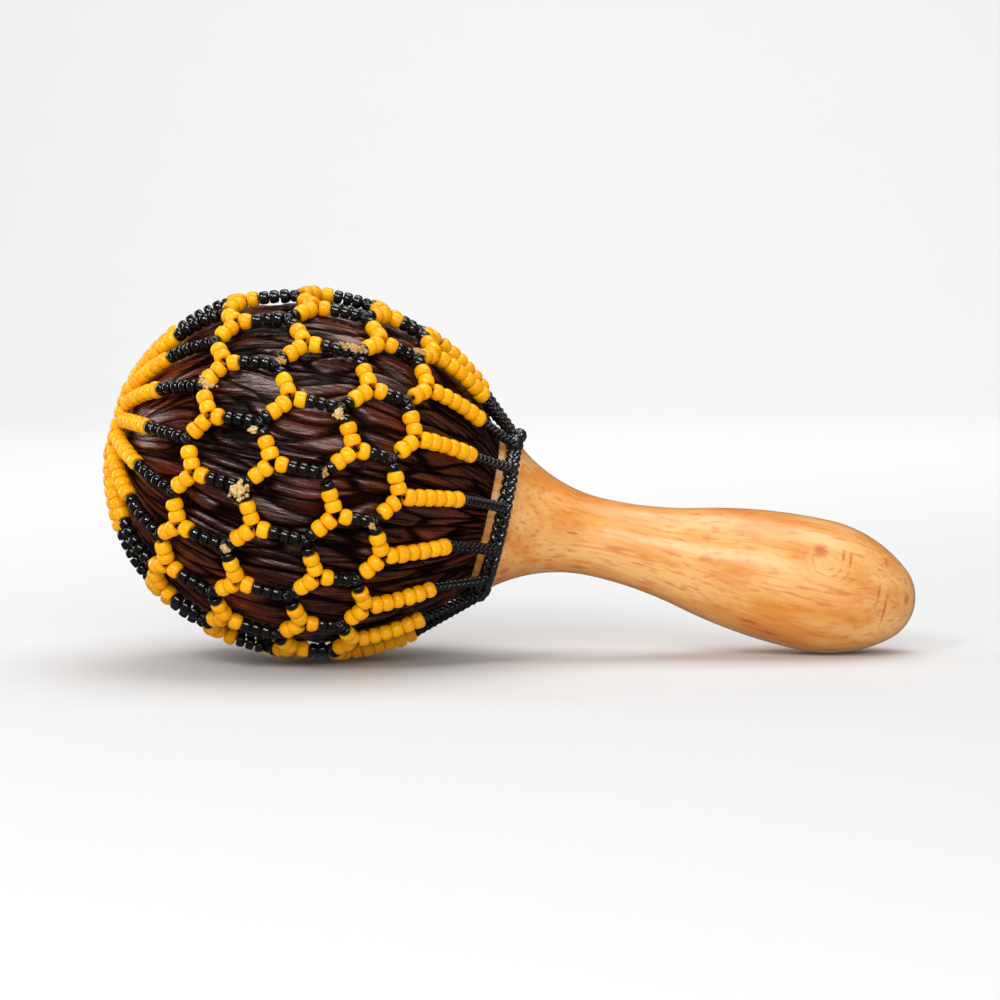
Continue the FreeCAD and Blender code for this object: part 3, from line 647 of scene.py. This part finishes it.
def dab_glue(name, node):
    """Glue dabs on some of the knots: a sandy lump on the side away from the shell, crumbs, bristles."""
    dabs, knots = Mesh(), Mesh()
    tones = []
    for centre, _, _ in round_solids(node):
        station, _, angle = where(centre)
        long, tall, thick, tone, along, up, crumbs, fibres = dab_of(station, angle)
        out = outwards(math.radians(angle))
        rise = out.cross(AXIS)
        middle = Vector(centre) + (out * 1.3 + AXIS * along + rise * up) * MM
        axes = (AXIS * long / 2 * MM, rise * tall / 2 * MM, out * thick / 2 * MM)
        lump(dabs, middle, axes, LUMP_POINTS, LUMP_FACES)
        tones += [tone] * len(LUMP_POINTS)
        for _ in range(crumbs):
            turn, reach = rng.uniform(0, 2 * math.pi), rng.uniform(0.7, 1.5)
            place = axes[0] * reach * math.cos(turn) + axes[1] * reach * math.sin(turn)
            size = rng.uniform(0.25, 0.55) * MM
            grain = [direction.normalized() * size for direction in axes]
            place += middle + axes[2] * rng.uniform(-0.5, 0.5)
            lump(dabs, place, grain, CRUMB_POINTS, CRUMB_FACES)
            tones += [min(1.0, max(0.0, tone + rng.gauss(0.1, 0.2)))] * len(CRUMB_POINTS)
        for _ in range(fibres):
            place = axes[0] * rng.uniform(-0.9, 0.9) + axes[1] * rng.uniform(-0.6, 0.9) + axes[2] * 0.6
            fibre(dabs, middle + place, rng.uniform(1.2, 3.0) * MM)
            tones += [0.6] * (FIBRE_POINTS * FIBRE_SIDES)
        wind_ball(knots, centre, 1.2 * MM, KNOT_THREAD, KNOT_ROUNDS)
    glue = dabs.become(name, GLUE, "net", "dried_glue", [node])
    add_values(glue, "tone", "FLOAT", "value", tones)
    knots.become("glued_knot_threads", CORD, "net", "black_cord", [node])


dab_glue("glue_dabs", "glued_knots")


# ---------------------------------------------------------------- braids

COLLAR_STATION, COLLAR_RADIUS = 96.4 * MM, 19.85 * MM
COLLAR_TURNS = 18
COLLAR_SWING, COLLAR_RISE, COLLAR_STRAND = 1.2 * MM, 0.6 * MM, 0.86 * MM
CORD_WIDTH, CORD_HEIGHT, CORD_STRAND, CORD_STRANDS = 0.92 * MM, 0.72 * MM, 0.44 * MM, 6
CORD_PITCH, CORD_WEAVE = 5.0 * MM, 0.26
CORD_START, CORD_TUCK, CORD_SINK, CORD_SAMPLES = 0.9 * MM, 1.2 * MM, 1.4 * MM, 110
KNOT_STRAND = 0.75 * MM
BALL_SHIFT, BALL_SINK, BALL_SHARE = 1.1 * MM, 1.4 * MM, 0.27


def braid(mesh, middle, side, out, phase, swing, rise, strand, closed=False):
    """Three strands that pass over each other along a line of points."""
    for third in range(3):
        turn = phase + third * 2 * math.pi / 3
        path = (
            middle + side * (swing * np.sin(turn))[:, None] + out * (rise * np.sin(2 * turn))[:, None]
        )
        mesh.tube(path, strand, closed=closed)


def round_braid(mesh, middle, side, out, phase):
    """Strands wound both ways round a line of points, each over and under the others in turn."""
    for strand in range(CORD_STRANDS):
        direction = 1 if strand % 2 == 0 else -1
        angle = direction * phase + strand * 2 * math.pi / CORD_STRANDS
        reach = 1 + CORD_WEAVE * direction * np.sin(CORD_STRANDS / 2 * angle)
        path = (
            middle + side * (CORD_WIDTH * reach * np.cos(angle))[:, None]
            + out * (CORD_HEIGHT * reach * np.sin(angle))[:, None]
        )
        mesh.tube(path, CORD_STRAND, sides=6)


def make_collar():
    """The braid that gathers the neck cords."""
    turn = np.linspace(0, 2 * math.pi, COLLAR_TURNS * 26, endpoint=False)
    out = np.array([outwards(angle) for angle in turn])
    middle = np.array(POLE + AXIS * COLLAR_STATION) + out * COLLAR_RADIUS
    side = np.broadcast_to(np.array(AXIS), out.shape)
    mesh = Mesh()
    braid(mesh, middle, side, out, turn * COLLAR_TURNS, COLLAR_SWING, COLLAR_RISE, COLLAR_STRAND, True)
    mesh.become("collar_braid", WAXED, "net", "black_cord", ["collar_cord"])


def smooth_line(points, count):
    """A smooth line through a few points, as evenly numbered samples."""
    points = np.array([np.array(point) for point in points])
    padded = np.vstack([2 * points[0] - points[1], points, 2 * points[-1] - points[-2]])
    line = []
    for share in np.linspace(0, len(points) - 1, count):
        i = min(int(share), len(points) - 2)
        u = share - i
        a, b, c, d = padded[i:i + 4]
        line.append(0.5 * (2 * b + (c - a) * u + (2 * a - 5 * b + 4 * c - d) * u**2
                           + (3 * b - a - 3 * c + d) * u**3))
    return np.array(line)


def make_neck_cords():
    """The cords from the beads to the collar, each braided from thin strands."""
    mesh = Mesh()
    for centre, axis, half in round_solids("neck_cords"):
        ends = sorted((Vector(centre) + Vector(axis) * half * sign for sign in (-1, 1)),
                      key=lambda end: where(end)[0])
        bead_end, collar_end = ends
        station, radius, angle = where(collar_end)
        line = smooth_line([
            bead_end - (collar_end - bead_end).normalized() * CORD_START,
            bead_end,
            (bead_end + collar_end) / 2,
            at(station, radius, angle),
            at(station + CORD_TUCK, radius - CORD_SINK, angle),
        ], CORD_SAMPLES)
        out = np.array([outwards(math.radians(angle))] * len(line))
        tangent = np.gradient(line, axis=0)
        tangent /= np.linalg.norm(tangent, axis=1, keepdims=True)
        side = np.cross(tangent, out)
        side /= np.linalg.norm(side, axis=1, keepdims=True)
        out = np.cross(side, tangent)
        lengths = np.concatenate([[0], np.cumsum(np.linalg.norm(np.diff(line, axis=0), axis=1))])
        round_braid(mesh, line, side, out, lengths / CORD_PITCH * 2 * math.pi + rng.uniform(0, 6))
    mesh.become("neck_cord_plaits", CORD, "net", "black_cord", ["neck_cords"])


def make_collar_knot(which, loops, step):
    """A wound knot on the collar: a tight ball, and loops of cord round the braid beside it."""
    node = "collar_knot_" + which
    centre, _, _ = round_solids(node)[0]
    low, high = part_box(node)
    width = max(high - low)
    station, radius, angle = where(centre)
    mesh = Mesh()
    ball = at(station - BALL_SHIFT, radius - BALL_SINK, angle)
    wind_ball(mesh, ball, width * BALL_SHARE, KNOT_STRAND, 3)
    turn = np.linspace(0, 2 * math.pi, 32, endpoint=False)
    for loop in range(loops):
        place = angle + (loop + 0.4) * step
        out = outwards(math.radians(place))
        middle = np.array(at(COLLAR_STATION, COLLAR_RADIUS + 0.3 * MM, place))
        lean = AXIS + out.cross(AXIS) * rng.uniform(-0.3, 0.3)
        ring = np.cos(turn)[:, None] * np.array(lean) * 1.6 + np.sin(turn)[:, None] * np.array(out) * 1.3
        mesh.tube(middle + ring * MM, KNOT_STRAND, sides=10, closed=True)
    mesh.become(node + "_loops", WAXED, "net", "black_cord", [node])


make_collar()
make_neck_cords()
make_collar_knot("upper", 3, -6.5)
make_collar_knot("lower", 2, 6.5)


# ---------------------------------------------------------------- shell

POLE_ARC, BELLY_RADIUS, MOUTH_STATION = 42.0 * MM, 43.0 * MM, 92.7 * MM
MOUTH_BORE, SHELL_WALL, SPIGOT_LENGTH = 16.0 * MM, 3.5 * MM, 12.0 * MM
BELLY_ARC = (
    ((BELLY_STATION - POLE_ARC) ** 2 + BELLY_RADIUS**2 - POLE_ARC**2) / (2 * (BELLY_RADIUS - POLE_ARC))
)
FLANK_LOW = BELLY_RADIUS - BELLY_ARC
SHELL_COLUMNS, SHELL_ROWS = 600, 146
RIDGES_ROUND, RIDGE_LENGTH, CARVED_DEPTH = 74, 19.0 * MM, 1.1 * MM
FACET_LEAN, FACET_DIP = 1.9, 0.6
GROOVE_WIDTH = 0.28
WAVE_LENGTH, WAVE_SWING = 26.0 * MM, 0.12
POLAR_EDGE, WORN_EDGE, EDGE_WANDER = (32.0 * MM, 46.0 * MM), (3.0 * MM, 12.0 * MM), 6.0 * MM
RIM_SLOPE, RIM_CHAMFER, BORE_PLAY = 2.0 * MM, 0.5 * MM, 0.05 * MM
LINING_ROWS = 12


def shell_outline(inset, rows):
    """Stations, radii and lengths along the outline, from the pole to the cut."""
    cap_turn = math.atan2(-FLANK_LOW, BELLY_STATION - POLE_ARC)
    cap, flank = POLE_ARC - inset, BELLY_ARC - inset
    last = math.pi - math.acos((MOUTH_STATION - BELLY_STATION) / flank)
    total = cap * cap_turn + flank * (last - cap_turn)
    stations, radii, lengths = [], [], []
    for length in np.linspace(0.02 * MM, total, rows):
        if length < cap * cap_turn:
            turn = length / cap
            stations.append(POLE_ARC - cap * math.cos(turn))
            radii.append(cap * math.sin(turn))
        else:
            turn = cap_turn + (length - cap * cap_turn) / flank
            stations.append(BELLY_STATION - flank * math.cos(turn))
            radii.append(FLANK_LOW + flank * math.sin(turn))
        lengths.append(length)
    return np.array(stations), np.array(radii), np.array(lengths)


def ease(value, low, high):
    """A smooth step from 0 at the low value to 1 at the high one."""
    share = min(1.0, max(0.0, (value - low) / (high - low)))
    return share * share * (3 - 2 * share)


def carving(length, turn):
    """How far a place is on a ridge, how high it stands, and how far it is polar wood, from 0 to 1.

    Each ridge is a facet with its own lean and dip. The shell is worn smooth round its pole.
    """
    around = Vector((math.cos(turn), math.sin(turn), 0.0))
    wave = WAVE_SWING * noise.noise(around * 2.2 + Vector((0, 0, length / WAVE_LENGTH)))
    reach = RIDGES_ROUND / (2 * math.pi)
    place = Vector((
        math.cos(turn + wave) * reach, math.sin(turn + wave) * reach, length / RIDGE_LENGTH,
    ))
    distances, centres = noise.voronoi(place)
    facet = noise.noise_vector(centres[0] * 7.3)
    offset = place - centres[0]
    across = Vector((-math.sin(turn), math.cos(turn), 0.0)).dot(offset)
    lean = FACET_LEAN * facet.x * across + FACET_DIP * facet.y * offset.z
    crest = ease(distances[1] - distances[0], 0.0, GROOVE_WIDTH)
    height = crest * min(1.1, max(0.2, 0.8 + 0.25 * facet.z + lean))
    edge = length + EDGE_WANDER * noise.noise(around * 3 + Vector((0, 0, 4)))
    polar = 1 - ease(edge, *POLAR_EDGE)
    carved = ease(edge, *WORN_EDGE)
    crest = 1 - carved * (1 - crest * (0.85 + 0.3 * facet.z))
    return crest, 1 - carved * (1 - height), polar


def make_shell():
    """The hollow shell with its carved outside, the cut end and the smooth cavity, as one closed wall."""
    stations, radii, lengths = shell_outline(0.0, SHELL_ROWS)
    turns = np.arange(SHELL_COLUMNS) * 2 * math.pi / SHELL_COLUMNS
    ring = np.array([outwards(turn) for turn in turns])
    crest = np.ones((SHELL_ROWS, SHELL_COLUMNS))
    height = np.ones((SHELL_ROWS, SHELL_COLUMNS))
    polar = np.ones((SHELL_ROWS, SHELL_COLUMNS))
    for row, length in enumerate(lengths):
        for column, turn in enumerate(turns):
            crest[row, column], height[row, column], polar[row, column] = carving(length, turn)
    rim = np.array([ease(lengths[-1] - length, 0.0, RIM_SLOPE) for length in lengths])
    depth = CARVED_DEPTH * (1 - height) * (1 - 0.7 * polar) * (0.35 + 0.65 * rim[:, None])
    along = np.gradient(stations)
    across = np.gradient(radii)
    steep = np.hypot(along, across)
    inward_station, inward_radius = across / steep, -along / steep
    s = stations[:, None] + depth * inward_station[:, None]
    r = radii[:, None] + depth * inward_radius[:, None]
    outer = np.array(POLE) + s[..., None] * np.array(AXIS) + r[..., None] * ring[None]

    inner_s, inner_r, _ = shell_outline(SHELL_WALL, LINING_ROWS)
    keep = inner_s < MOUTH_STATION - SPIGOT_LENGTH
    bore = MOUTH_BORE + BORE_PLAY
    profile = [(MOUTH_STATION, radii[-1] - RIM_CHAMFER), (MOUTH_STATION, bore),
               (MOUTH_STATION - SPIGOT_LENGTH, bore)]
    profile += list(zip(inner_s[keep][::-1], inner_r[keep][::-1]))
    lining = np.array([
        np.array(POLE) + station * np.array(AXIS) + radius * ring for station, radius in profile
    ])
    mesh = Mesh()
    mesh.grid(np.concatenate([outer, lining]))
    shell = mesh.become("carved_shell", shell_material(), "root", "carved_shell", ["shell"])

    inside = (len(profile), SHELL_COLUMNS)
    add_values(shell, "crest", "FLOAT", "value", np.concatenate([crest, np.ones(inside)]))
    add_values(shell, "polar", "FLOAT", "value", np.concatenate([polar, np.zeros(inside)]))
    run = np.concatenate([lengths, lengths[-1] + np.arange(len(profile)) * MM])
    grain = np.stack(np.broadcast_arrays(
        np.cos(turns)[None, :] * BELLY_RADIUS / MM, np.sin(turns)[None, :] * BELLY_RADIUS / MM,
        run[:, None] / MM,
    ), axis=-1)
    add_values(shell, "grain", "FLOAT_VECTOR", "vector", grain)


make_shell()


# ---------------------------------------------------------------- CAD nodes that stay


def paint(node, material):
    """Gives a CAD node its material, in place of the plain one."""
    materials = frame["nodes"][node].data.materials
    materials.clear()
    materials.append(material)


paint("handle", wood_material())
paint("seeds", seed_material())
for node in frame["nodes"]:
    if "thread" in node:
        paint(node, THREAD)


# ---------------------------------------------------------------- floor and light


def make_floor():
    """A pale sheet that lies under the object and curves up far behind it."""
    half_width, front, depth, height, bend, steps = 6.0, -3.0, 2.6, 3.0, 1.2, 12
    outline = [(front, 0.0), (depth - bend, 0.0)]
    for i in range(1, steps + 1):
        turn = i / steps * math.pi / 2
        outline.append((depth - bend + bend * math.sin(turn), bend * (1 - math.cos(turn))))
    outline.append((depth, height))
    points = np.array([[(x, y, z) for x in (-half_width, half_width)] for y, z in outline])
    mesh = bpy.data.meshes.new("floor")
    quads = [(2 * i, 2 * i + 1, 2 * i + 3, 2 * i + 2) for i in range(len(outline) - 1)]
    mesh.from_pydata(points.reshape(-1, 3).tolist(), [], quads)
    mesh.polygons.foreach_set("use_smooth", [True] * len(quads))
    floor = bpy.data.objects.new("floor", mesh)
    bpy.context.scene.collection.objects.link(floor)
    shader = Shader("floor", Base_Color=(0.7, 0.7, 0.7, 1.0), Roughness=0.9, Specular_IOR_Level=0.15)
    mesh.materials.append(shader.material)
    floor.visible_glossy = False


def make_light(name, place, target, width, height, power, shows):
    """A softbox. One that doesn't show lights the scene without being mirrored in glossy surfaces."""
    data = bpy.data.lights.new(name, "AREA")
    data.shape = "RECTANGLE"
    data.size, data.size_y = width, height
    data.energy = power
    light = bpy.data.objects.new(name, data)
    light.location = place
    light.rotation_mode = "QUATERNION"
    light.rotation_quaternion = (Vector(target) - Vector(place)).to_track_quat("-Z", "Y")
    light.visible_glossy = shows
    bpy.context.scene.collection.objects.link(light)


def make_world(strength):
    """An even white glow from all round."""
    world = bpy.data.worlds.new("world")
    bpy.context.scene.world = world
    world.use_nodes = True
    background = world.node_tree.nodes["Background"]
    background.inputs["Color"].default_value = (1.0, 1.0, 1.0, 1.0)
    background.inputs["Strength"].default_value = strength


make_floor()
make_world(0.1)
make_light("key", (-0.5, -0.62, 0.62), (-0.02, 0, 0.04), 0.22, 0.22, 2.3, True)
make_light("soft", (-0.45, -0.55, 0.9), (-0.02, 0, 0.04), 1.2, 1.2, 3.4, False)
make_light("window", (-0.05, -0.95, 0.5), (0.05, 0, 0.04), 0.6, 0.4, 3.6, True)
make_light("fill", (0.9, -0.9, 0.5), (0.02, 0, 0.04), 0.6, 0.6, 0.8, False)
make_light("front", (-0.1, -0.9, 0.1), (0.0, 0, 0.03), 1.4, 0.2, 1.9, False)
make_light("top", (0.2, 0.1, 1.2), (0.1, 0, 0.0), 1.2, 0.8, 8.4, True)
make_light("left", (-0.8, 0.45, 0.3), (-0.06, 0, 0.05), 0.14, 0.8, 2.3, True)
make_light("backdrop", (0.3, 0.9, 1.6), (0.3, 2.2, 0.5), 3.0, 1.0, 47.0, False)

bpy.context.scene.view_settings.view_transform = "Standard"
